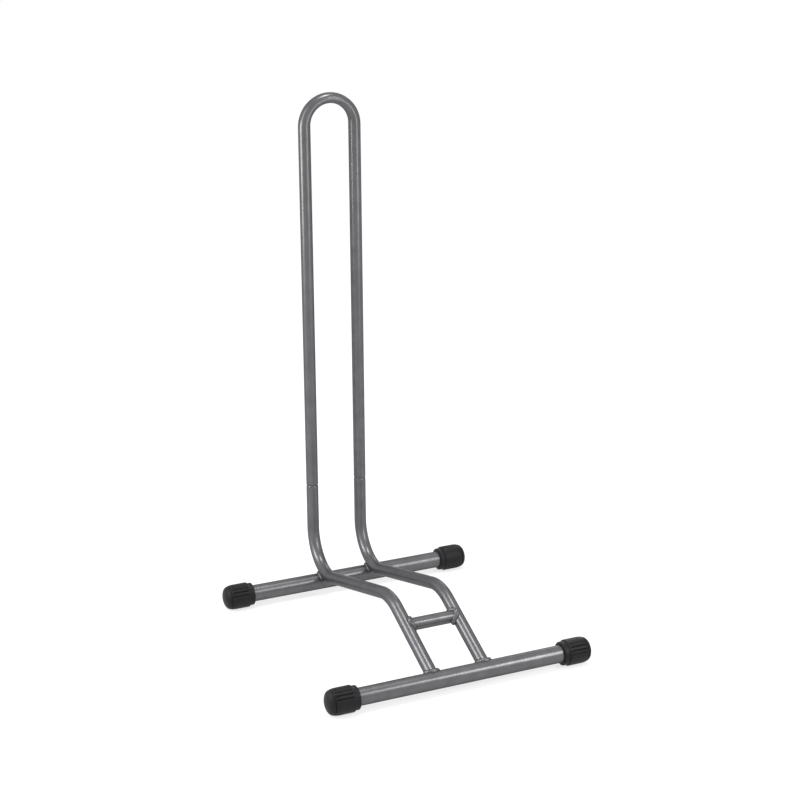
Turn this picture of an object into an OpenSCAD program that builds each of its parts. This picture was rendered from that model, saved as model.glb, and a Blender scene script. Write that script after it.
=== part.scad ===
// Floor rack for one bicycle: two cross tubes, two bent rails, a rung and a plug-on hoop.
// The rack stands on the plane z = 0, and its front, where the wheel rolls in, faces -Y.

/* [Overall] */
// Height from the floor to the top of the hoop
height = 672; // [560:1:800]
// Distance between the axes of the two cross tubes
base_depth = 346; // [290:1:420]
// Length of each cross tube, without its caps
cross_len = 340; // [260:1:460]
// Clear gap between the two rails, and between the hoop's legs, for the tyre
wheel_gap = 54; // [44:1:70]

/* [Tubes] */
// Outside diameter of the hoop and the rails
rail_d = 16; // [14:0.5:19]
// Outside diameter of the rung
rung_d = 16; // [12:0.5:18]
// Outside diameter of the two cross tubes
cross_d = 22; // [19:0.5:28]
// Wall of every tube
tube_wall = 1.2; // [0.8:0.1:1.6]

/* [Rails] */
// How far the hoop's plane stands behind the rear cross tube's axis
hoop_back = 30; // [24:1:40]
// Radius of the bend at the foot of each rail's leg, on the tube's axis
foot_bend_r = 53; // [45:1:62]
// Radius of the bend at the crest, on the tube's axis
crest_bend_r = 64; // [40:1:90]
// Angle at which a rail rises from the rear cross tube to the crest
rise_angle = 14.2; // [11:0.1:17]
// Angle at which a rail falls from the crest to the front cross tube
fall_angle = 26.4; // [22:0.1:32]
// Distance from the crest's bend down to the rung's axis, along the rails
rung_drop = 28.7; // [20:0.1:60]
// How far the rung stops short of the rails' axes, so that its ends keep a blunt tip
rung_tip = 3; // [2:0.5:5]

/* [Plug joint] */
// Height of the hoop's two ends above the floor
hoop_end_z = 145.5; // [130:0.5:200]
// Length of the reduced spigot inside the hoop's leg
spigot_len = 40; // [25:1:60]
// Gap all round between the spigot and the hoop's bore
spigot_fit = 0.05; // [0.02:0.01:0.1]
// Length of the rounded shoulder between the rail's full size and its spigot
shoulder_len = 3.3; // [2:0.1:6]
// Gap between the top of the shoulder and the hoop's end
seat_gap = 0.2; // [0.1:0.1:0.5]
// Wall that is left in the reduced spigot
spigot_wall = 1.1; // [0.7:0.1:1.4]

/* [Welds] */
// Leg of the fillet welds at the two cross tubes
weld_leg = 2.6; // [1.5:0.1:4]
// Leg of the fillet welds at the rung's ends
rung_weld_leg = 2.2; // [1.2:0.1:2.5]
// Gap that the weld fills between a rail and the rear cross tube
root_gap = 0.1; // [0.05:0.05:0.5]

/* [Caps] */
// Thickness of a cap's body over its tube
cap_wall = 5.5; // [4:0.1:8]
// Whole length of a cap
cap_len = 40.5; // [34:0.5:60]
// Thickness of a cap's closed end
cap_floor = 8; // [7.5:0.5:12]
// Gap all round between a cap's bore and its tube
cap_fit = 0.05; // [0.02:0.01:0.2]
// Thickness of the collar round a cap's open end
collar_wall = 3.9; // [2:0.1:3.9]
// Length of the collar
collar_len = 5.5; // [3:0.5:8]
// Thickness that is left at the collar's rounded rim
rim_wall = 2.6; // [1:0.1:3]
// Length of the domed nose
nose_len = 7.5; // [5:0.5:11]
// Step from the body's front edge down onto the nose
nose_step = 0.3; // [0.1:0.1:1]
// How much the body's radius drops before its front edge, and over what length
taper_drop = 1; // [0.3:0.1:2]
taper_len = 8; // [4:0.5:12]
// Depth of the flat on which a cap stands
foot_flat = 0.5; // [0.3:0.1:1]
// Number of grooves in each of a cap's two groups
groove_count = 5; // [3:1:6]
// Angle from one groove to the next
groove_pitch = 18; // [14:1:22]
// Depth of a groove
groove_depth = 0.9; // [0.4:0.1:1.3]
// Radius of a groove's round bottom
groove_r = 1.5; // [1:0.1:3]
// Distance from the body's back end to the start of the grooves
groove_start = 2; // [1:0.5:6]

/* [Hidden] */
$fn = 96;

steel = "#77777a";
weld_metal = "#6b6b6d";
rubber = "#2b2b2d";

// Overrun of every cut past the face that it opens
cut = 1;
// Bevel inside each open tube end and at the tip of a spigot
bevel = 0.4;
// How far bending draws in a tube's outer and inner surface, and how far a straight run laps a bend
bend_draw = 0.12;
lap = 0.3;
// Height of the step from a cap's collar up to its body, and of the body's own back bevel
collar_step = 1.2;
back_bevel = 0.6;

// Radii, and the X of the left and the right rail
rail_r = rail_d / 2;
rung_r = rung_d / 2;
cross_r = cross_d / 2;
bend_r = rail_r - bend_draw;
cap_r = cross_r + cap_wall;
collar_r = cross_r + collar_wall;
rim_r = cross_r + rim_wall;
rail_x = (wheel_gap + rail_d) / 2;

// Places of the three main lines, seen from the side: Y of each, and the cross tubes' height
depth = cap_r + base_depth + max(hoop_back + rail_r, cap_r);
front_y = cap_r - depth / 2;
rear_y = front_y + base_depth;
hoop_y = rear_y + hoop_back;
axis_z = cap_r - foot_flat;
front_axis = [front_y, axis_z];

// Unit directions of a rail's two sloping runs, in the YZ plane
rise_dir = [-cos(rise_angle), sin(rise_angle)];
fall_dir = [cos(fall_angle), sin(fall_angle)];

// Centre of the foot bend, set so that the bend rests on the rear cross tube
foot_reach = foot_bend_r + bend_r + cross_r + root_gap;
foot_centre = [hoop_y - foot_bend_r, axis_z + sqrt(pow(foot_reach, 2) - pow(hoop_back - foot_bend_r, 2))];
foot_end = foot_centre + foot_bend_r * [-sin(rise_angle), -cos(rise_angle)];
// Angle round the foot bend at which it rests on the tube, and the arc that the weld there lies in
contact_angle = -acos((foot_bend_r - hoop_back) / foot_reach);
weld_arc = 20;

// Corner where the rising and the falling run would meet, and the bend that rounds it
span = foot_end - front_axis;
fall_len = (span[0] * sin(rise_angle) + span[1] * cos(rise_angle)) / sin(rise_angle + fall_angle);
crest = front_axis + fall_len * fall_dir;
crest_tangent = crest_bend_r * tan((rise_angle + fall_angle) / 2);
crest_start = crest - crest_tangent * rise_dir;
crest_end = crest - crest_tangent * fall_dir;
crest_centre = crest_start + crest_bend_r * [-sin(rise_angle), -cos(rise_angle)];
rung_axis = crest_end - rung_drop * fall_dir;

// The plug joint, from the spigot's tip down to where the rail has its full size
spigot_r = rail_r - tube_wall - spigot_fit;
shoulder_top = hoop_end_z - seat_gap;
shoulder_z = shoulder_top - shoulder_len;
spigot_top = hoop_end_z + spigot_len;

// Centre height of the hoop's half-round top
arch_z = height - rail_x - bend_r;

// X of a cap's open rim, measured from the middle of its tube, and where its body starts from the rim
cap_rim_x = cross_len / 2 + cap_floor - cap_len;
body_z = collar_len + collar_step;
// Angle of each cap's first groove group: 0 faces the front and 90 faces up
front_left_turn = 66;
front_right_turn = 27;
rear_left_turn = 58;
rear_right_turn = 118;

// Cross-section of a tube
module ring(r, wall) {
    difference() {
        circle(r);
        circle(r - wall);
    }
}

// Places a shape drawn along +Z so that it runs from p towards q, both in the YZ plane
module along(p, q) {
    translate([0, p[0], p[1]]) rotate([-atan2(q[0] - p[0], q[1] - p[1]), 0, 0]) children();
}

// Straight tube from p to q in the YZ plane, lapping the bend at each end
module run_tube(p, q) {
    along(p, q) translate([0, 0, -lap]) linear_extrude(norm(q - p) + 2 * lap) ring(rail_r, tube_wall);
}

// Wall of a bent stretch of the same tube
module bend_ring() {
    ring(bend_r, tube_wall - 2 * bend_draw);
}

// Turns a 2D section at a radius about a centre in the YZ plane
module side_bend(centre, radius, from_angle, to_angle) {
    translate([0, centre[0], centre[1]]) rotate([90, 0, 90]) rotate([0, 0, from_angle])
        rotate_extrude(angle = to_angle - from_angle) translate([radius, 0]) children();
}

// Round bar along X, centred on x = 0
module cross_bar(axis, r, len) {
    translate([0, axis[0], axis[1]]) rotate([0, 90, 0]) cylinder(h = len, r = r, center = true);
}

// Solid envelope of a rail's falling run, grown by a margin
module fall_bar(grow) {
    along(front_axis, crest_end) cylinder(h = norm(crest_end - front_axis), r = rail_r + grow);
}

// Upright leg of a rail, up through the rounded shoulder to the tip of the reduced spigot
module rail_leg() {
    steps = 8;
    bore_r = spigot_r - spigot_wall;
    wide_bore_r = rail_r - tube_wall;
    foot_z = foot_centre[1] - lap;
    shoulder = [for (i = [0 : steps]) let (t = 90 * i / steps)
        [spigot_r + (rail_r - spigot_r) * cos(t), shoulder_z + shoulder_len * sin(t)]];
    tip = [[spigot_r, spigot_top - bevel], [spigot_r - bevel, spigot_top], [bore_r, spigot_top]];
    inside = [[bore_r, shoulder_top], [wide_bore_r, shoulder_z], [wide_bore_r, foot_z]];
    translate([0, hoop_y, 0]) rotate_extrude() polygon(concat([[rail_r, foot_z]], shoulder, tip, inside));
}

module rail(x) {
    color(steel) translate([x, 0, 0]) difference() {
        union() {
            rail_leg();
            side_bend(foot_centre, foot_bend_r, -90 - rise_angle, 0) bend_ring();
            run_tube(foot_end, crest_start);
            side_bend(crest_centre, crest_bend_r, 90 - rise_angle, 90 + fall_angle) bend_ring();
            run_tube(front_axis, crest_end);
        }
        cross_bar(front_axis, cross_r, rail_d + 2 * cut);
    }
}

module rail_left() { rail(-rail_x); }
module rail_right() { rail(rail_x); }

module hoop_leg(x) {
    translate([x, hoop_y, hoop_end_z]) difference() {
        linear_extrude(arch_z - hoop_end_z + lap) ring(rail_r, tube_wall);
        translate([0, 0, -cut])
            cylinder(h = cut + bevel, r1 = rail_r - tube_wall + bevel + cut, r2 = rail_r - tube_wall);
    }
}

module hoop() {
    color(steel) {
        hoop_leg(-rail_x);
        hoop_leg(rail_x);
        translate([0, hoop_y, arch_z]) rotate([90, 0, 0])
            rotate_extrude(angle = 180) translate([rail_x, 0]) bend_ring();
    }
}

module cross_tube(y) {
    color(steel) difference() {
        cross_bar([y, axis_z], cross_r, cross_len);
        cross_bar([y, axis_z], cross_r - tube_wall, cross_len + 2 * cut);
    }
}

module rear_cross_tube() { cross_tube(rear_y); }
module front_cross_tube() { cross_tube(front_y); }

// The rung is cut to the round of both rails
module rung() {
    color(steel) difference() {
        cross_bar(rung_axis, rung_r, 2 * (rail_x - rung_tip));
        cross_bar(rung_axis, rung_r - tube_wall, 2 * rail_x);
        for (x = [-rail_x, rail_x]) translate([x, 0, 0]) fall_bar(0);
    }
}

// Half of a cap's outline, from its rim to the middle of its nose, as [radius, height]
function cap_outline() =
    let (edge_z = cap_len - nose_len,
        nose_r = cap_r - taper_drop - nose_step,
        steps = 6,
        rim = [for (t = [0 : 30 : 90])
            [rim_r + (collar_r - rim_r) * sin(t), collar_step * (1 - cos(t))]],
        taper = [for (i = [0 : steps]) let (t = i / steps)
            [cap_r - taper_drop * t * t, edge_z - taper_len * (1 - t)]],
        nose = [for (t = [0 : 15 : 90]) [nose_r * cos(t), edge_z + nose_len * sin(t)]])
    concat([[0, 0]], rim, [[collar_r, collar_len], [cap_r - back_bevel, body_z], [cap_r, body_z + back_bevel]],
        taper, nose);

// Cap standing on its rim, with its nose up and its first groove group centred on +X
module cap_shape() {
    first = -groove_pitch * (groove_count - 1) / 2;
    difference() {
        rotate_extrude() polygon(cap_outline());
        translate([0, 0, -cut]) cylinder(h = cut + cap_len - cap_floor, r = cross_r + cap_fit);
        for (group = [0, 180], i = [0 : groove_count - 1])
            rotate([0, 0, group + first + i * groove_pitch])
                translate([cap_r - groove_depth + groove_r, 0, body_z + groove_start])
                    cylinder(h = cap_len, r = groove_r);
    }
}

// Cap pushed on the right (side = 1) or the left (side = -1) end of a cross tube
module end_cap(side, y, turn) {
    color(rubber) intersection() {
        translate([side * cap_rim_x, y, axis_z]) rotate([0, 90 * side, 0])
            rotate([0, 0, -90 - side * turn]) cap_shape();
        translate([0, y, cap_r]) cube([cross_len + 2 * cap_len, 2 * cap_r + cut, 2 * cap_r], center = true);
    }
}

module end_cap_front_left() { end_cap(-1, front_y, front_left_turn); }
module end_cap_front_right() { end_cap(1, front_y, front_right_turn); }
module end_cap_rear_left() { end_cap(-1, rear_y, rear_left_turn); }
module end_cap_rear_right() { end_cap(1, rear_y, rear_right_turn); }

// Fillet ring where a rail's front end meets the front cross tube
module weld_front(x) {
    reach = rail_d + 2 * weld_leg + cut;
    color(weld_metal) translate([x, 0, 0]) difference() {
        intersection() {
            fall_bar(weld_leg);
            cross_bar(front_axis, cross_r + weld_leg, reach);
        }
        fall_bar(0);
        cross_bar(front_axis, cross_r, reach + cut);
    }
}

module weld_front_left() { weld_front(-rail_x); }
module weld_front_right() { weld_front(rail_x); }

// Weld metal in the narrow space where a rail's foot bend rests on the rear cross tube
module weld_rear(x) {
    reach = rail_d + 2 * weld_leg + cut;
    color(weld_metal) translate([x, 0, 0]) difference() {
        intersection() {
            side_bend(foot_centre, foot_bend_r, contact_angle - weld_arc, contact_angle + weld_arc)
                circle(bend_r + weld_leg);
            cross_bar([rear_y, axis_z], cross_r + weld_leg, reach);
        }
        side_bend(foot_centre, foot_bend_r, -90 - rise_angle, 0) circle(bend_r);
        cross_bar([rear_y, axis_z], cross_r, reach + cut);
    }
}

module weld_rear_left() { weld_rear(-rail_x); }
module weld_rear_right() { weld_rear(rail_x); }

// Fillet ring round one end of the rung
module weld_rung(side) {
    color(weld_metal) difference() {
        intersection() {
            translate([side * rail_x, 0, 0]) fall_bar(rung_weld_leg);
            translate([side * rail_x / 2, 0, 0])
                cross_bar(rung_axis, rung_r + rung_weld_leg, rail_x - rung_tip / 2);
        }
        translate([side * rail_x, 0, 0]) fall_bar(0);
        cross_bar(rung_axis, rung_r, 2 * (rail_x - rung_tip));
    }
}

module weld_rung_left() { weld_rung(-1); }
module weld_rung_right() { weld_rung(1); }

hoop();
rail_left();
rail_right();
rear_cross_tube();
front_cross_tube();
rung();
end_cap_front_left();
end_cap_front_right();
end_cap_rear_left();
end_cap_rear_right();
weld_front_left();
weld_front_right();
weld_rear_left();
weld_rear_right();
weld_rung_left();
weld_rung_right();
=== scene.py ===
import bpy
import random
from math import atan2, cos, hypot, pi, radians, sin, sqrt, tan
from mathutils import Matrix, Vector


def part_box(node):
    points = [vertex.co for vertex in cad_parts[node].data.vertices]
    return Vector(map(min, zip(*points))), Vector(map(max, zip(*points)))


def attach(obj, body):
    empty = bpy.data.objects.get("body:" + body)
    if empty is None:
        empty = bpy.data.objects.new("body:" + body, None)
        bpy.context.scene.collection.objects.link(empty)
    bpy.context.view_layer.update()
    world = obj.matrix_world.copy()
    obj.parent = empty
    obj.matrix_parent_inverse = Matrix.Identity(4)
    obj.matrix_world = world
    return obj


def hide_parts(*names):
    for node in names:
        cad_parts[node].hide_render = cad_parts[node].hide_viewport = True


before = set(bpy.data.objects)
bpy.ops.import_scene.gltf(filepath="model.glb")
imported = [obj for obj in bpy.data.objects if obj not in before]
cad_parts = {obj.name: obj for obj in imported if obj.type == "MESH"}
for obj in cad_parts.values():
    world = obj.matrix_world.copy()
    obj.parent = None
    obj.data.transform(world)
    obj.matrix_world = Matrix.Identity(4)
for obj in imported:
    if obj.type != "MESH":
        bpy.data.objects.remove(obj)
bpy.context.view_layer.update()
mm = 0.001
hair = 0.01 * mm  # points closer than this count as being in one place
edgeAngle = radians(50)  # edges sharper than this are rounded off


# Places of the rack's tubes, read from the frame: X across, Y to the back, Z up
def middle(node):
    low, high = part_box(node)
    return (Vector(low) + Vector(high)) / 2


def extent(node):
    low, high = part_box(node)
    return Vector(high) - Vector(low)


railRadius = extent("rail_left").x / 2
crossRadius = extent("front_cross_tube").z / 2
rungRadius = extent("rung").z / 2
railX = middle("rail_right").x
hoopY = middle("hoop").y
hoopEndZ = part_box("hoop")[0][2]
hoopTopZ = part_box("hoop")[1][2]
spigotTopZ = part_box("rail_left")[1][2]
frontAxis = middle("front_cross_tube")
rearAxis = middle("rear_cross_tube")
rungAxis = middle("rung")
tubeWall = 1.2 * mm


# Small helpers for modelling as by hand
def deselect():
    bpy.ops.object.select_all(action="DESELECT")


def pick(piece):
    deselect()
    piece.select_set(True)
    bpy.context.view_layer.objects.active = piece


def settle(piece):
    # leaves the object at the origin, unturned, with its place in its mesh
    pick(piece)
    bpy.ops.object.transform_apply(location=True, rotation=True, scale=True)


def openRing(name, radius, centre, facing, sides):
    # a bare circle that faces along a direction, in edit mode and selected, ready to be drawn out
    deselect()
    turn = Vector(facing).to_track_quat("Z", "Y").to_euler()
    bpy.ops.mesh.primitive_circle_add(vertices=sides, radius=radius, location=centre, rotation=turn)
    piece = bpy.context.object
    piece.name = name
    settle(piece)
    bpy.ops.object.mode_set(mode="EDIT")
    bpy.ops.mesh.select_all(action="SELECT")
    return piece


def drawOut(step):
    bpy.ops.mesh.extrude_region_move(TRANSFORM_OT_translate={"value": tuple(step)})


def bendRound(centre, axis, angle, steps):
    # right-handed about the axis, which the spin operator counts the other way
    bpy.ops.mesh.spin(steps=steps, angle=-angle, center=tuple(centre), axis=tuple(axis))


def growRing(factor, centre):
    bpy.ops.transform.resize(value=(factor, factor, factor), center_override=tuple(centre))


def closeUp(piece, gap=0.005 * mm):
    # out of edit mode, with doubles merged and every face pointing outwards
    bpy.ops.mesh.select_all(action="SELECT")
    bpy.ops.mesh.remove_doubles(threshold=gap)
    bpy.ops.mesh.normals_make_consistent(inside=False)
    bpy.ops.object.mode_set(mode="OBJECT")
    return piece


def useModifier(piece, kind, **settings):
    pick(piece)
    modifier = piece.modifiers.new(kind.title(), kind)
    for key, value in settings.items():
        setattr(modifier, key, value)
    bpy.ops.object.modifier_apply(modifier=modifier.name)


def smoothShade(piece, angle=35):
    pick(piece)
    bpy.ops.object.shade_smooth_by_angle(angle=radians(angle), keep_sharp_edges=False)


def placePiece(piece, body, node, material):
    settle(piece)
    piece.data.materials.clear()
    piece.data.materials.append(material)
    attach(piece, body)
    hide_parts(node)


# The camera stands where it stood for the photograph, found by matching the tubes' outlines
cameraPlace = {
    "azimuth": -24.956, "elevation": 17.337, "roll": -0.477,  # degrees
    "distance": 2386.26 * mm, "aim": (0, -10.75 * mm, 300 * mm),
    "right": 1.944 * mm, "up": 15.222 * mm,
    "focal": 1920 / 800, "sensor": 36,  # focal length as a share of the picture's width
}


def addCamera(place):
    a, e, r = (radians(place[key]) for key in ("azimuth", "elevation", "roll"))
    back = Vector((sin(a) * cos(e), -cos(a) * cos(e), sin(e)))
    level = Vector((cos(a), sin(a), 0))
    upright = back.cross(level)
    right = cos(r) * level + sin(r) * upright
    up = cos(r) * upright - sin(r) * level
    spot = Vector(place["aim"]) + place["distance"] * back + place["right"] * right + place["up"] * up
    bpy.ops.object.camera_add(location=spot)
    camera = bpy.context.object
    camera.matrix_world = Matrix.Translation(spot) @ Matrix((right, up, back)).transposed().to_4x4()
    camera.data.sensor_width = place["sensor"]
    camera.data.lens = place["focal"] * place["sensor"]
    camera.data.clip_end = 100
    bpy.context.scene.camera = camera


addCamera(cameraPlace)
print("camera placed")


# Materials. Colours are sRGB hex and patterns are sized in millimetres
def colour(code):
    parts = [int(code[i:i + 2], 16) / 255 for i in (1, 3, 5)]
    return tuple(p / 12.92 if p <= 0.04045 else ((p + 0.055) / 1.055) ** 2.4 for p in parts) + (1,)


def addNode(tree, kind, settings=None, links=None):
    node = tree.nodes.new(kind)
    for key, value in (settings or {}).items():
        setattr(node, key, value)
    for key, value in (links or {}).items():
        if isinstance(value, bpy.types.NodeSocket):
            tree.links.new(value, node.inputs[key])
        else:
            node.inputs[key].default_value = value
    return node


def startMaterial(name):
    material = bpy.data.materials.new(name)
    material.use_nodes = True
    tree = material.node_tree
    tree.nodes.clear()
    place = addNode(tree, "ShaderNodeTexCoord").outputs["Object"]
    return material, tree, place


def speckle(tree, place, size, detail=2, rough=0.5):
    # soft noise whose blotches are about as wide as the size given
    links = {"Vector": place, "Scale": 1 / size, "Detail": detail, "Roughness": rough}
    return addNode(tree, "ShaderNodeTexNoise", links=links).outputs["Fac"]


def spread(tree, value, low, high, fromLow=0.3, fromHigh=0.7):
    links = {"Value": value, "From Min": fromLow, "From Max": fromHigh, "To Min": low, "To Max": high}
    return addNode(tree, "ShaderNodeMapRange", links=links).outputs["Result"]


def blendColours(tree, share, first, second):
    links = {"Factor": share, 6: first, 7: second}
    return addNode(tree, "ShaderNodeMix", {"data_type": "RGBA"}, links).outputs[2]


def finishMaterial(material, tree, settings):
    shader = addNode(tree, "ShaderNodeBsdfPrincipled", links=settings)
    addNode(tree, "ShaderNodeOutputMaterial", links={"Surface": shader.outputs["BSDF"]})
    return material


coat = {
    "light": "#636365", "dark": "#59595b", "metallic": 0.7, "roughness": (0.29, 0.34),
    "cloud": 14 * mm, "flake": 0.6 * mm, "peel": 2.2 * mm, "peelDepth": 0.005 * mm,
    "edgeTint": "#8c8c90", "bare": "#a8a8ab", "mark": 0.8 * mm, "markStretch": 0.06,
    "cloudShare": 0.85, "glintShare": 0.15, "bump": 0.6, "weldDepth": 2.5,
    "rubFade": 2 * mm, "rubShare": 0.8, "rubLimits": (0.5, 0.62),
}


def rubbedShare(tree, place, above):
    # lengthwise marks where the sliding fit of the plug joint has rubbed the coat through
    height = addNode(tree, "ShaderNodeSeparateXYZ", links={"Vector": place}).outputs["Z"]
    over = spread(tree, height, 0, 1, above, above + coat["rubFade"])
    drawn = addNode(tree, "ShaderNodeMapping", links={"Vector": place, "Scale": (1, 1, coat["markStretch"])})
    streaks = speckle(tree, drawn.outputs["Vector"], coat["mark"])
    marks = spread(tree, streaks, 0, coat["rubShare"], *coat["rubLimits"])
    return addNode(tree, "ShaderNodeMath", {"operation": "MULTIPLY"}, {0: over, 1: marks}).outputs[0]


def powderCoat(name, depth=1.0, rubbedAbove=None):
    # silver-grey polyester powder with aluminium flake, sprayed and baked: a satin sheen over a
    # faint orange peel, with flakes that catch the light (drawn coarser than they are, to show)
    material, tree, place = startMaterial(name)
    cloud = speckle(tree, place, coat["cloud"], 3)
    flake = addNode(tree, "ShaderNodeTexVoronoi", links={"Vector": place, "Scale": 1 / coat["flake"]})
    glint = addNode(tree, "ShaderNodeSeparateColor", links={"Color": flake.outputs["Color"]}).outputs[0]
    tone = addNode(tree, "ShaderNodeMath", {"operation": "ADD"}, {
        0: spread(tree, cloud, 0, coat["cloudShare"]),
        1: spread(tree, glint, 0, coat["glintShare"], 0, 1)}).outputs[0]
    base = blendColours(tree, tone, colour(coat["dark"]), colour(coat["light"]))
    if rubbedAbove is not None:
        base = blendColours(tree, rubbedShare(tree, place, rubbedAbove), base, colour(coat["bare"]))
    rough = spread(tree, speckle(tree, place, coat["cloud"] / 3), *coat["roughness"])
    peel = speckle(tree, place, coat["peel"], 1)
    bump = addNode(tree, "ShaderNodeBump", links={
        "Strength": coat["bump"], "Distance": coat["peelDepth"] * depth, "Height": peel}).outputs["Normal"]
    return finishMaterial(material, tree, {
        "Base Color": base, "Metallic": coat["metallic"], "Roughness": rough, "Normal": bump,
        "Specular Tint": colour(coat["edgeTint"])})


rubber = {
    "light": "#131315", "dark": "#0c0c0e", "roughness": (0.46, 0.56), "gloss": 0.2,
    "cloud": 7 * mm, "grain": 0.5 * mm, "grainDepth": 0.02 * mm, "bump": 0.5,
    "scuff": "#333333", "scuffShare": 0.5, "scuffHeight": 1.2 * mm, "scuffPatch": 1.5 * mm,
}


def mouldedRubber(name):
    # black rubber, injection moulded in a spark-eroded mould: matt, with a fine even grain, and
    # greyed by scuffs where the caps stand on the floor
    material, tree, place = startMaterial(name)
    cloud = speckle(tree, place, rubber["cloud"], 4)
    base = blendColours(tree, spread(tree, cloud, 0, 1), colour(rubber["dark"]), colour(rubber["light"]))
    height = addNode(tree, "ShaderNodeSeparateXYZ", links={"Vector": place}).outputs["Z"]
    low = spread(tree, height, rubber["scuffShare"], 0, 0, rubber["scuffHeight"])
    patches = spread(tree, speckle(tree, place, rubber["scuffPatch"]), 0, 1)
    worn = addNode(tree, "ShaderNodeMath", {"operation": "MULTIPLY"}, {0: low, 1: patches}).outputs[0]
    base = blendColours(tree, worn, base, colour(rubber["scuff"]))
    rough = spread(tree, speckle(tree, place, rubber["cloud"] / 4), *rubber["roughness"])
    bump = addNode(tree, "ShaderNodeBump", links={
        "Strength": rubber["bump"], "Distance": rubber["grainDepth"],
        "Height": speckle(tree, place, rubber["grain"], 1)}).outputs["Normal"]
    return finishMaterial(material, tree, {
        "Base Color": base, "Roughness": rough, "Specular IOR Level": rubber["gloss"], "Normal": bump})


coatedSteel = powderCoat("powderCoatedSteel")
coatedRail = powderCoat("powderCoatedRubbedSteel", rubbedAbove=hoopEndZ)
coatedWeld = powderCoat("powderCoatedWeldBead", coat["weldDepth"])
blackRubber = mouldedRubber("mouldedBlackRubber")
print("materials made")


# Hoop: one tube bent over a narrow former, which flattens it a little round the top
hoopShape = {
    "sides": 72, "legSteps": 6, "archSteps": 48, "flatten": 0.135, "widen": 0.06,
    "rimRound": 0.5 * mm,
}


def archFlatten(piece, centre, bendRadius, flatten, widen):
    for vertex in piece.data.vertices:
        reach = Vector((vertex.co.x - centre.x, 0, vertex.co.z - centre.z))
        if reach.z <= 0:
            continue
        share = reach.z / reach.length
        off = (reach.length - bendRadius) * (1 - flatten * share)
        vertex.co.x = centre.x + reach.x / reach.length * (bendRadius + off)
        vertex.co.z = centre.z + reach.z / reach.length * (bendRadius + off)
        vertex.co.y = centre.y + (vertex.co.y - centre.y) * (1 + widen * share)


def makeHoop():
    arch = Vector((0, hoopY, hoopTopZ - railX - railRadius))
    leg = (arch.z - hoopEndZ) / hoopShape["legSteps"]
    hoop = openRing("hoopTube", railRadius, (-railX, hoopY, hoopEndZ), (0, 0, 1), hoopShape["sides"])
    for _ in range(hoopShape["legSteps"]):
        drawOut((0, 0, leg))
    bendRound(arch, (0, 1, 0), pi, hoopShape["archSteps"])
    for _ in range(hoopShape["legSteps"]):
        drawOut((0, 0, -leg))
    closeUp(hoop)
    archFlatten(hoop, arch, railX, hoopShape["flatten"], hoopShape["widen"])
    useModifier(hoop, "SOLIDIFY", thickness=tubeWall, offset=-1, use_even_offset=True)
    useModifier(hoop, "BEVEL", width=hoopShape["rimRound"], segments=3, limit_method="ANGLE",
                angle_limit=edgeAngle)
    smoothShade(hoop)
    placePiece(hoop, "hoop", "hoop", coatedSteel)


makeHoop()
print("hoop bent")


# Rails: each is coped to the front tube, bent over the crest and up into its leg, then swaged down to
# the spigot that goes into the hoop
railShape = {
    "sides": 72, "footBend": 53 * mm, "crestBend": 64 * mm, "rise": radians(14.2), "fall": radians(26.4),
    "bendStep": radians(3), "squash": 0.03, "shoulder": 4.2 * mm, "shoulderSteps": 8, "seatGap": 0.7 * mm,
    "spigotRadius": railRadius - tubeWall - 0.05 * mm, "tipBevel": 0.4 * mm, "copeReach": 0.3 * mm,
}


def railLines(shape):
    # the centre line seen from the side, from the front tube up to the leg
    rise, fall = shape["rise"], shape["fall"]
    up = Vector((0, cos(fall), sin(fall)))
    down = Vector((0, cos(rise), -sin(rise)))
    reach = shape["footBend"] + railRadius + crossRadius
    behind = hoopY - rearAxis.y - shape["footBend"]
    foot = Vector((0, hoopY - shape["footBend"], rearAxis.z + sqrt(reach ** 2 - behind ** 2)))
    footStart = foot + shape["footBend"] * Vector((0, -sin(rise), -cos(rise)))
    span = footStart - frontAxis
    length = (span.y * sin(rise) + span.z * cos(rise)) / sin(rise + fall)
    corner = Vector((0, frontAxis.y, frontAxis.z)) + length * up
    cut = shape["crestBend"] * tan((rise + fall) / 2)
    crestStart = corner - cut * up
    crest = crestStart + shape["crestBend"] * Vector((0, sin(fall), -cos(fall)))
    return {"up": up, "down": down, "foot": foot, "footStart": footStart, "crest": crest,
            "crestStart": crestStart, "crestEnd": corner + cut * down}


lines = railLines(railShape)


def ovalBend(piece, x, centre, bendRadius, middleAngle, halfTurn, squash):
    # a bent tube is a little flatter in the plane of its bend and wider across it
    for vertex in piece.data.vertices:
        reach = Vector((0, vertex.co.y - centre.y, vertex.co.z - centre.z))
        turn = (atan2(reach.z, reach.y) - middleAngle + pi) % (2 * pi) - pi
        if abs(turn) >= halfTurn or abs(reach.length - bendRadius) > 1.2 * railRadius:
            continue
        share = cos(turn / halfTurn * pi / 2)
        off = (reach.length - bendRadius) * (1 - squash * share)
        vertex.co.y = centre.y + reach.y / reach.length * (bendRadius + off)
        vertex.co.z = centre.z + reach.z / reach.length * (bendRadius + off)
        vertex.co.x = x + (vertex.co.x - x) * (1 + squash * share / 2)


def cope(piece, x, direction, touching, distance):
    # slides the end's points along the tube until they meet the tube that it is welded to
    across = Vector((1, 0, 0)).cross(direction)
    start = Vector((x, frontAxis.y, frontAxis.z))
    for vertex in piece.data.vertices:
        offset = vertex.co - start
        along = offset.dot(direction)
        if abs(along - distance) < railShape["copeReach"]:
            side = offset.dot(across)
            vertex.co += direction * (sqrt(touching ** 2 - side ** 2) - along)


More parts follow.
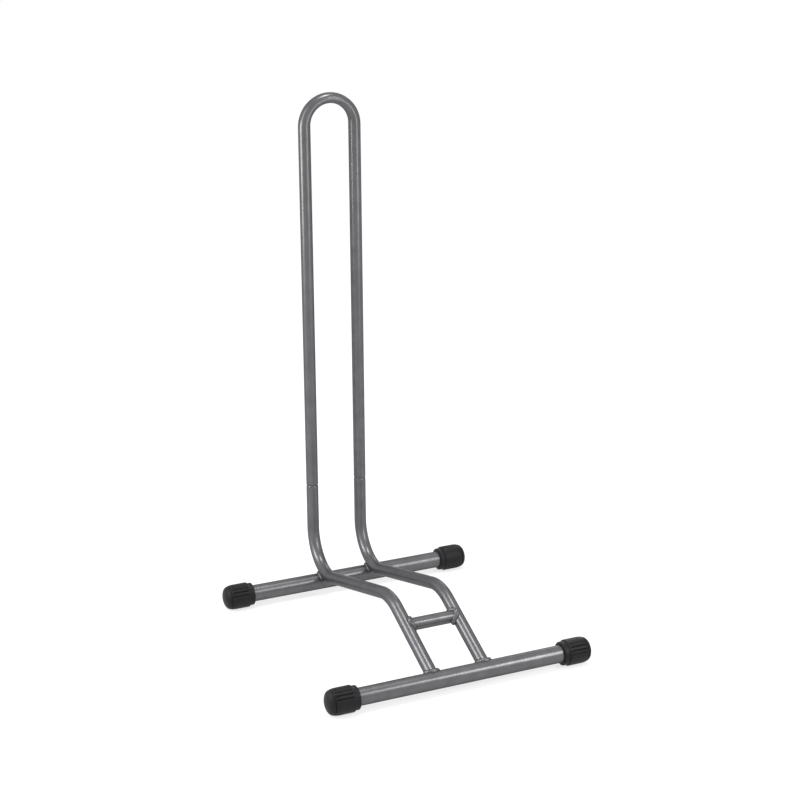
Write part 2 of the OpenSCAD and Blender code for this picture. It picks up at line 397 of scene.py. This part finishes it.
def makeRail(name, node, x):
    shape = railShape
    rise, fall = shape["rise"], shape["fall"]
    at = Vector((x, 0, 0))
    start = Vector((x, frontAxis.y, frontAxis.z)) + crossRadius * lines["up"]
    rail = openRing(name, railRadius, start, lines["up"], shape["sides"])
    drawOut(at + lines["crestStart"] - start)
    bendRound(at + lines["crest"], (-1, 0, 0), rise + fall, round((rise + fall) / shape["bendStep"]))
    drawOut(lines["footStart"] - lines["crestEnd"])
    bendRound(at + lines["foot"], (1, 0, 0), rise + pi / 2, round((rise + pi / 2) / shape["bendStep"]))
    shoulderTop = hoopEndZ - shape["seatGap"]
    shoulderLow = shoulderTop - shape["shoulder"]
    drawOut((0, 0, shoulderLow - lines["foot"].z))
    radius, height = railRadius, shoulderLow
    for i in range(1, shape["shoulderSteps"] + 1):
        t = pi / 2 * i / shape["shoulderSteps"]
        newRadius = shape["spigotRadius"] + (railRadius - shape["spigotRadius"]) * cos(t)
        newHeight = shoulderLow + shape["shoulder"] * sin(t)
        drawOut((0, 0, newHeight - height))
        growRing(newRadius / radius, (x, hoopY, newHeight))
        radius, height = newRadius, newHeight
    drawOut((0, 0, spigotTopZ - shape["tipBevel"] - height))
    drawOut((0, 0, shape["tipBevel"]))
    growRing((radius - shape["tipBevel"]) / radius, (x, hoopY, spigotTopZ))
    closeUp(rail)
    halfFoot = (pi / 2 + rise) / 2
    halfCrest = (fall + rise) / 2
    crestMiddle = pi / 2 + (fall - rise) / 2
    ovalBend(rail, x, lines["foot"], shape["footBend"], -halfFoot, halfFoot, shape["squash"])
    ovalBend(rail, x, lines["crest"], shape["crestBend"], crestMiddle, halfCrest, shape["squash"])
    useModifier(rail, "SOLIDIFY", thickness=tubeWall, offset=-1, use_even_offset=True)
    cope(rail, x, lines["up"], crossRadius, crossRadius)
    smoothShade(rail)
    placePiece(rail, "base", node, coatedRail)


makeRail("railLeft", "rail_left", -railX)
makeRail("railRight", "rail_right", railX)
print("rails bent")


# Straight tubes: the two cross tubes, and the rung, whose ends are coped to the rails
straightShape = {"sides": 96, "steps": 10, "rungTip": 3 * mm, "endRound": 0.3 * mm}


def makeCrossTube(name, node):
    low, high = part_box(node)
    axis = middle(node)
    step = (high[0] - low[0]) / straightShape["steps"]
    tube = openRing(name, crossRadius, (low[0], axis.y, axis.z), (1, 0, 0), straightShape["sides"])
    for _ in range(straightShape["steps"]):
        drawOut((step, 0, 0))
    closeUp(tube)
    useModifier(tube, "SOLIDIFY", thickness=tubeWall, offset=-1)
    useModifier(tube, "BEVEL", width=straightShape["endRound"], segments=2, limit_method="ANGLE",
                angle_limit=edgeAngle)
    smoothShade(tube)
    placePiece(tube, "base", node, coatedSteel)


def makeRung():
    reach = railX - straightShape["rungTip"]
    step = 2 * reach / straightShape["steps"]
    start = (-reach, rungAxis.y, rungAxis.z)
    rung = openRing("rungTube", rungRadius, start, (1, 0, 0), straightShape["sides"])
    for _ in range(straightShape["steps"]):
        drawOut((step, 0, 0))
    closeUp(rung)
    useModifier(rung, "SOLIDIFY", thickness=tubeWall, offset=-1)
    across = Vector((1, 0, 0)).cross(lines["up"])
    for vertex in rung.data.vertices:
        if abs(abs(vertex.co.x) - reach) < hair:
            side = (vertex.co - rungAxis).dot(across)
            hollow = sqrt(max(railRadius ** 2 - side ** 2, 0))
            vertex.co.x = (1 if vertex.co.x > 0 else -1) * (railX - max(hollow, straightShape["rungTip"]))
    smoothShade(rung)
    placePiece(rung, "base", "rung", coatedSteel)


makeCrossTube("frontCrossTube", "front_cross_tube")
makeCrossTube("rearCrossTube", "rear_cross_tube")
makeRung()
print("straight tubes cut")


# Welds: drops of metal laid one over the next along each joint, melted together under the coat
weldShape = {
    "frontDrop": 3.6 * mm, "rungDrop": {"Left": 3 * mm, "Right": 3.4 * mm}, "rearDrop": 3.2 * mm,
    "pitch": 1.7 * mm, "uneven": 0.06, "voxel": 0.25 * mm, "smooth": 13, "bite": 0.15 * mm, "seed": 7,
    "rearAside": 6.2 * mm, "rearLift": 1.2 * mm, "rearCurve": 14, "rearStart": 2.5 * mm, "rearSteps": 10,
    "drip": 1.2 * mm, "dripEnds": (-0.5, 2), "seamSteps": 180,
    "cutterSides": 96, "footRing": (144, 64),
}
chance = random.Random(weldShape["seed"])


def frontSeam(x):
    # where a rail's end meets the front tube
    across = Vector((1, 0, 0)).cross(lines["up"])
    start = Vector((x, frontAxis.y, frontAxis.z))
    seam = []
    for i in range(weldShape["seamSteps"]):
        t = 2 * pi * i / weldShape["seamSteps"]
        side = railRadius * sin(t)
        along = sqrt(crossRadius ** 2 - side ** 2)
        seam.append(start + Vector((railRadius * cos(t), 0, 0)) + across * side + lines["up"] * along)
    return seam + seam[:1]


def rungSeam(sign):
    # where the rung's end meets a rail
    across = Vector((1, 0, 0)).cross(lines["up"])
    seam = []
    for i in range(weldShape["seamSteps"]):
        t = 2 * pi * i / weldShape["seamSteps"]
        side = rungRadius * sin(t)
        away = max(sqrt(max(railRadius ** 2 - side ** 2, 0)), straightShape["rungTip"])
        spot = rungAxis + across * side + lines["up"] * rungRadius * cos(t)
        seam.append(Vector((sign * (railX - away), spot.y, spot.z)))
    return seam + seam[:1]


def rearSeam(x, sign):
    # beside the line where a rail's foot bend rests on the rear tube
    toFoot = Vector((0, lines["foot"].y - rearAxis.y, lines["foot"].z - rearAxis.z)).normalized()
    along = Vector((1, 0, 0)).cross(toFoot)
    touch = Vector((x, rearAxis.y, rearAxis.z)) + toFoot * crossRadius
    aside = Vector((sign * weldShape["rearAside"], 0, 0))
    places = [i * mm - weldShape["rearStart"] for i in range(weldShape["rearSteps"])]
    return [touch + aside + toFoot * (weldShape["rearLift"] - weldShape["rearCurve"] * v * v) + along * v
            for v in places]


def dripSeam():
    # a drip that the photograph shows in the lower corner of the rung's right end
    spot = rungAxis - lines["up"] * (rungRadius + weldShape["drip"])
    return [Vector((railX - railRadius - x * mm, spot.y, spot.z)) for x in weldShape["dripEnds"]]


def dropsAlong(seam, pitch):
    spots, left = [], 0
    for first, second in zip(seam, seam[1:]):
        length = (second - first).length
        while left < length:
            spots.append(first.lerp(second, left / length))
            left += pitch
        left -= length
    return spots


def layWeld(name, node, seams, drop, cutters):
    deselect()
    bpy.ops.mesh.primitive_ico_sphere_add(subdivisions=3, radius=1, location=(0, 0, 0))
    first = bpy.context.object
    drops = []
    for seam in seams:
        for spot in dropsAlong(seam, weldShape["pitch"]):
            size = drop * (1 + chance.uniform(-1, 1) * weldShape["uneven"])
            copy = first.copy()
            copy.data = first.data.copy()
            copy.location = spot
            copy.scale = (size, size, size)
            bpy.context.collection.objects.link(copy)
            drops.append(copy)
    bpy.data.objects.remove(first)
    deselect()
    for copy in drops:
        copy.select_set(True)
    bpy.context.view_layer.objects.active = drops[0]
    bpy.ops.object.join()
    weld = bpy.context.object
    weld.name = name
    settle(weld)
    useModifier(weld, "REMESH", mode="VOXEL", voxel_size=weldShape["voxel"])
    useModifier(weld, "SMOOTH", factor=0.5, iterations=weldShape["smooth"])
    for cutter in cutters:
        useModifier(weld, "BOOLEAN", operation="DIFFERENCE", object=cutter, solver="EXACT")
    pick(weld)
    bpy.ops.object.shade_smooth()
    placePiece(weld, "base", node, coatedWeld)


def barCutter(name, radius, first, second):
    deselect()
    line = second - first
    turn = line.to_track_quat("Z", "Y").to_euler()
    bpy.ops.mesh.primitive_cylinder_add(vertices=weldShape["cutterSides"], radius=radius,
                                        depth=line.length, location=(first + second) / 2, rotation=turn)
    cutter = bpy.context.object
    cutter.name = name
    settle(cutter)
    return cutter


def footCutter(x):
    # the foot bend as a solid ring
    deselect()
    ringSides, tubeSides = weldShape["footRing"]
    bpy.ops.mesh.primitive_torus_add(
        major_radius=railShape["footBend"], minor_radius=railRadius - weldShape["bite"],
        major_segments=ringSides, minor_segments=tubeSides,
        location=lines["foot"] + Vector((x, 0, 0)), rotation=(0, pi / 2, 0))
    cutter = bpy.context.object
    settle(cutter)
    return cutter


def makeWelds():
    bite = weldShape["bite"]
    reach = Vector((2 * railX, 0, 0))
    frontBar = barCutter("frontCutter", crossRadius - bite, frontAxis - reach, frontAxis + reach)
    rearBar = barCutter("rearCutter", crossRadius - bite, rearAxis - reach, rearAxis + reach)
    rungBar = barCutter("rungCutter", rungRadius - bite, rungAxis - reach, rungAxis + reach)
    cutters = [frontBar, rearBar, rungBar]
    for side, sign in (("Left", -1), ("Right", 1)):
        x = sign * railX
        at = Vector((x, 0, 0))
        railBar = barCutter("railCutter", railRadius - bite, at + Vector((0, frontAxis.y, frontAxis.z)),
                            at + lines["crestStart"])
        foot = footCutter(x)
        node = side.lower()
        layWeld("weldFront" + side, "weld_front_" + node, [frontSeam(x)], weldShape["frontDrop"],
                [railBar, frontBar])
        rungSeams = [rungSeam(sign)] if sign < 0 else [rungSeam(sign), dripSeam()]
        layWeld("weldRung" + side, "weld_rung_" + node, rungSeams, weldShape["rungDrop"][side],
                [railBar, rungBar])
        layWeld("weldRear" + side, "weld_rear_" + node, [rearSeam(x, -1), rearSeam(x, 1)],
                weldShape["rearDrop"], [foot, rearBar])
        cutters += [railBar, foot]
    for cutter in cutters:
        bpy.data.objects.remove(cutter)


makeWelds()
print("welds laid")


# End caps: rubber cups with two groups of lengthwise grooves, a narrow collar and a domed nose
capShape = {
    "sides": 360, "length": 40.5 * mm, "floor": 8 * mm, "bore": crossRadius + 0.05 * mm,
    "body": crossRadius + 5.5 * mm, "collar": crossRadius + 3.9 * mm, "rim": crossRadius + 2.6 * mm,
    "collarLength": 5.5 * mm, "step": 1.2 * mm, "backRound": 0.9 * mm,
    "noseLength": 7.5 * mm, "edgeStep": 0.3 * mm, "crease": 0.9 * mm, "taperDrop": 1 * mm,
    "taperLength": 8 * mm, "tip": 0.001 * mm, "rimBevel": 0.4 * mm, "neckFlare": 0.25 * mm,
    "neckTop": 0.1 * mm, "neckLow": 0.5 * mm, "collarRing": 2.5 * mm, "shadeAngle": 40,
    "noseSteps": 20, "bodySteps": 50, "backSteps": 5, "rimSteps": 6, "leastWall": 1 * mm,
    "grooves": 5, "groovePitch": radians(18), "grooveDepth": 1.3 * mm, "grooveHalf": 1.6 * mm,
    "grooveStart": 1.6 * mm, "grooveEnd": 1.6 * mm, "grooveFade": 2 * mm,
    "turns": {"front_left": 66, "front_right": 27, "rear_left": 58, "rear_right": 118},
}


def capRings(shape):
    # the cap's outline from the tip of its nose down to the rim and back up its bore, as radius and height
    top = shape["length"]
    edge = top - shape["noseLength"]
    back = shape["collarLength"] + shape["step"]
    backTop = back + shape["backRound"]
    edgeRadius = shape["body"] - shape["taperDrop"]
    noseRadius = edgeRadius - shape["edgeStep"]
    creaseEnd = edge - shape["crease"]
    rings = [(shape["tip"], top)]
    for i in range(1, shape["noseSteps"]):
        t = pi / 2 * i / shape["noseSteps"]
        rings.append((noseRadius * sin(t), edge + shape["noseLength"] * cos(t)))
    rings += [(noseRadius, edge), (noseRadius - shape["crease"], edge - shape["crease"] / 2)]
    rings.append((edgeRadius, creaseEnd))
    for i in range(1, shape["bodySteps"] + 1):
        height = creaseEnd + (backTop - creaseEnd) * i / shape["bodySteps"]
        share = max(1 - (edge - height) / shape["taperLength"], 0)
        rings.append((shape["body"] - shape["taperDrop"] * share ** 2, height))
    for i in range(1, shape["backSteps"] + 1):
        t = pi / 2 * i / shape["backSteps"]
        radius = shape["body"] - shape["backRound"] * (1 - cos(t))
        rings.append((radius, backTop - shape["backRound"] * sin(t)))
    rings += [(shape["collar"] + shape["neckFlare"], back - shape["neckTop"]),
              (shape["collar"], back - shape["neckLow"]),
              (shape["collar"], shape["collarLength"]), (shape["collar"], shape["collarRing"])]
    for i in range(shape["rimSteps"] + 1):
        t = pi / 2 * i / shape["rimSteps"]
        radius = shape["rim"] + (shape["collar"] - shape["rim"]) * cos(t)
        rings.append((radius, shape["step"] * (1 - sin(t))))
    floor = top - shape["floor"]
    rings += [(shape["bore"] + shape["rimBevel"], 0), (shape["bore"], shape["rimBevel"]),
              (shape["bore"], floor), (shape["tip"], floor)]
    return rings


def cutGrooves(piece, shape):
    start = shape["collarLength"] + shape["step"] + shape["grooveStart"]
    end = shape["length"] - shape["noseLength"] - shape["grooveEnd"]
    first = -shape["groovePitch"] * (shape["grooves"] - 1) / 2
    centres = [group + first + i * shape["groovePitch"] for group in (0, pi) for i in range(shape["grooves"])]
    for vertex in piece.data.vertices:
        radius = hypot(vertex.co.x, vertex.co.y)
        if radius < shape["bore"] + shape["leastWall"] or not start < vertex.co.z < end:
            continue
        angle = atan2(vertex.co.y, vertex.co.x)
        nearest = min(abs((angle - centre + pi) % (2 * pi) - pi) for centre in centres)
        # the groove narrows to a round end at both of its ends
        fade = min((vertex.co.z - start) / shape["grooveFade"], (end - vertex.co.z) / shape["grooveFade"], 1)
        half = shape["grooveHalf"] * sqrt(1 - (1 - fade) ** 2)
        share = min(nearest * shape["body"] / max(half, hair), 1)
        depth = shape["grooveDepth"] * (1 + cos(pi * share)) / 2 * min(2 * fade, 1)
        wall = max(radius - depth, shape["bore"] + shape["leastWall"])
        vertex.co.x *= wall / radius
        vertex.co.y *= wall / radius


def makeCap(place, side):
    shape = capShape
    node = "end_cap_" + place
    low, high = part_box(node)
    name = "cap" + place.title().replace("_", "")
    rings = capRings(shape)
    radius, height = rings[0]
    cap = openRing(name, radius, (0, 0, height), (0, 0, 1), shape["sides"])
    for newRadius, newHeight in rings[1:]:
        drawOut((0, 0, newHeight - height))
        growRing(newRadius / radius, (0, 0, newHeight))
        radius, height = newRadius, newHeight
    closeUp(cap)
    cutGrooves(cap, shape)
    # laid along X with its nose outwards, and turned as in the photograph: 0 faces the front, 90 up
    rimX = low[0] if side > 0 else high[0]
    axis = frontAxis if "front" in place else rearAxis
    turn = radians(-90 - side * shape["turns"][place])
    cap.matrix_world = (Matrix.Translation((rimX, axis.y, axis.z)) @ Matrix.Rotation(side * pi / 2, 4, "Y")
                        @ Matrix.Rotation(turn, 4, "Z"))
    settle(cap)
    for vertex in cap.data.vertices:
        vertex.co.z = max(vertex.co.z, 0)  # the flat that it stands on
    smoothShade(cap, shape["shadeAngle"])
    placePiece(cap, "base", node, blackRubber)


for place in capShape["turns"]:
    makeCap(place, 1 if "right" in place else -1)
print("caps moulded")


# Floor, surroundings and lamps
studio = {
    "floorSize": 60, "floorDrop": 0.05 * mm, "floorColour": "#ffffff", "shadow": 0.3,
    "surroundColour": "#ffffff", "surround": 1.0, "aim": (0, 0.05, 0.32),
    "key": {"at": (0.88, -1.54, 1.48), "size": (0.5, 0.5), "power": 8.9},
    "left": {"at": (-1.295, 0.117, 0.85), "size": (0.35, 1.5), "power": 7.5},
    "top": {"at": (0.22, 0, 2.4), "size": (0.5, 0.5), "power": 18.4},
    "back": {"at": (1.32, 1.54, 1.08), "size": (0.5, 0.5), "power": 4.1},
    "nearKey": {"at": (0.4, -0.62, 0.44), "size": (0.16, 0.34), "power": 1.4},
    "nearLeft": {"at": (-0.7, 0.16, 0.53), "size": (0.25, 0.35), "power": 2.5},
}


def seenDirectly(tree):
    # 1 for what the camera sees, also mirrored in metal, and 0 for the light that falls on things
    rays = addNode(tree, "ShaderNodeLightPath").outputs
    both = addNode(tree, "ShaderNodeMath", {"operation": "MAXIMUM"},
                   {0: rays["Is Camera Ray"], 1: rays["Is Glossy Ray"]}).outputs[0]
    return addNode(tree, "ShaderNodeMath", {"operation": "MAXIMUM"},
                   {0: both, 1: rays["Is Transmission Ray"]}).outputs[0]


def addFloor():
    deselect()
    bpy.ops.mesh.primitive_plane_add(size=studio["floorSize"], location=(0, 0, -studio["floorDrop"]))
    floor = bpy.context.object
    floor.name = "floor"
    material, tree, place = startMaterial("paleFloor")
    pale = colour(studio["floorColour"])
    painted = addNode(tree, "ShaderNodeBsdfDiffuse", links={"Color": pale})
    glow = addNode(tree, "ShaderNodeEmission", links={"Color": pale, "Strength": 1.0})
    share = addNode(tree, "ShaderNodeMath", {"operation": "MULTIPLY"},
                    {0: seenDirectly(tree), 1: 1 - studio["shadow"]}).outputs[0]
    mix = addNode(tree, "ShaderNodeMixShader", links={0: share, 1: painted.outputs[0], 2: glow.outputs[0]})
    addNode(tree, "ShaderNodeOutputMaterial", links={"Surface": mix.outputs[0]})
    floor.data.materials.append(material)


def addSurroundings():
    world = bpy.data.worlds.new("paleStudio")
    world.use_nodes = True
    tree = world.node_tree
    tree.nodes.clear()
    settings = {"Color": colour(studio["surroundColour"]), "Strength": studio["surround"]}
    glow = addNode(tree, "ShaderNodeBackground", links=settings)
    addNode(tree, "ShaderNodeOutputWorld", links={"Surface": glow.outputs[0]})
    bpy.context.scene.world = world


def addLamp(name):
    lamp = studio[name]
    towards = Vector(lamp["at"]) - Vector(studio["aim"])
    deselect()
    bpy.ops.object.light_add(type="AREA", location=lamp["at"])
    light = bpy.context.object
    light.name = name + "Lamp"
    light.rotation_euler = towards.to_track_quat("Z", "Y").to_euler()
    light.data.shape = "RECTANGLE"
    light.data.size, light.data.size_y = lamp["size"]
    light.data.energy = lamp["power"]
    light.visible_camera = False


addFloor()
addSurroundings()
for name in ("key", "left", "top", "back", "nearKey", "nearLeft"):
    addLamp(name)
bpy.context.scene.view_settings.view_transform = "Standard"
print("studio lit")
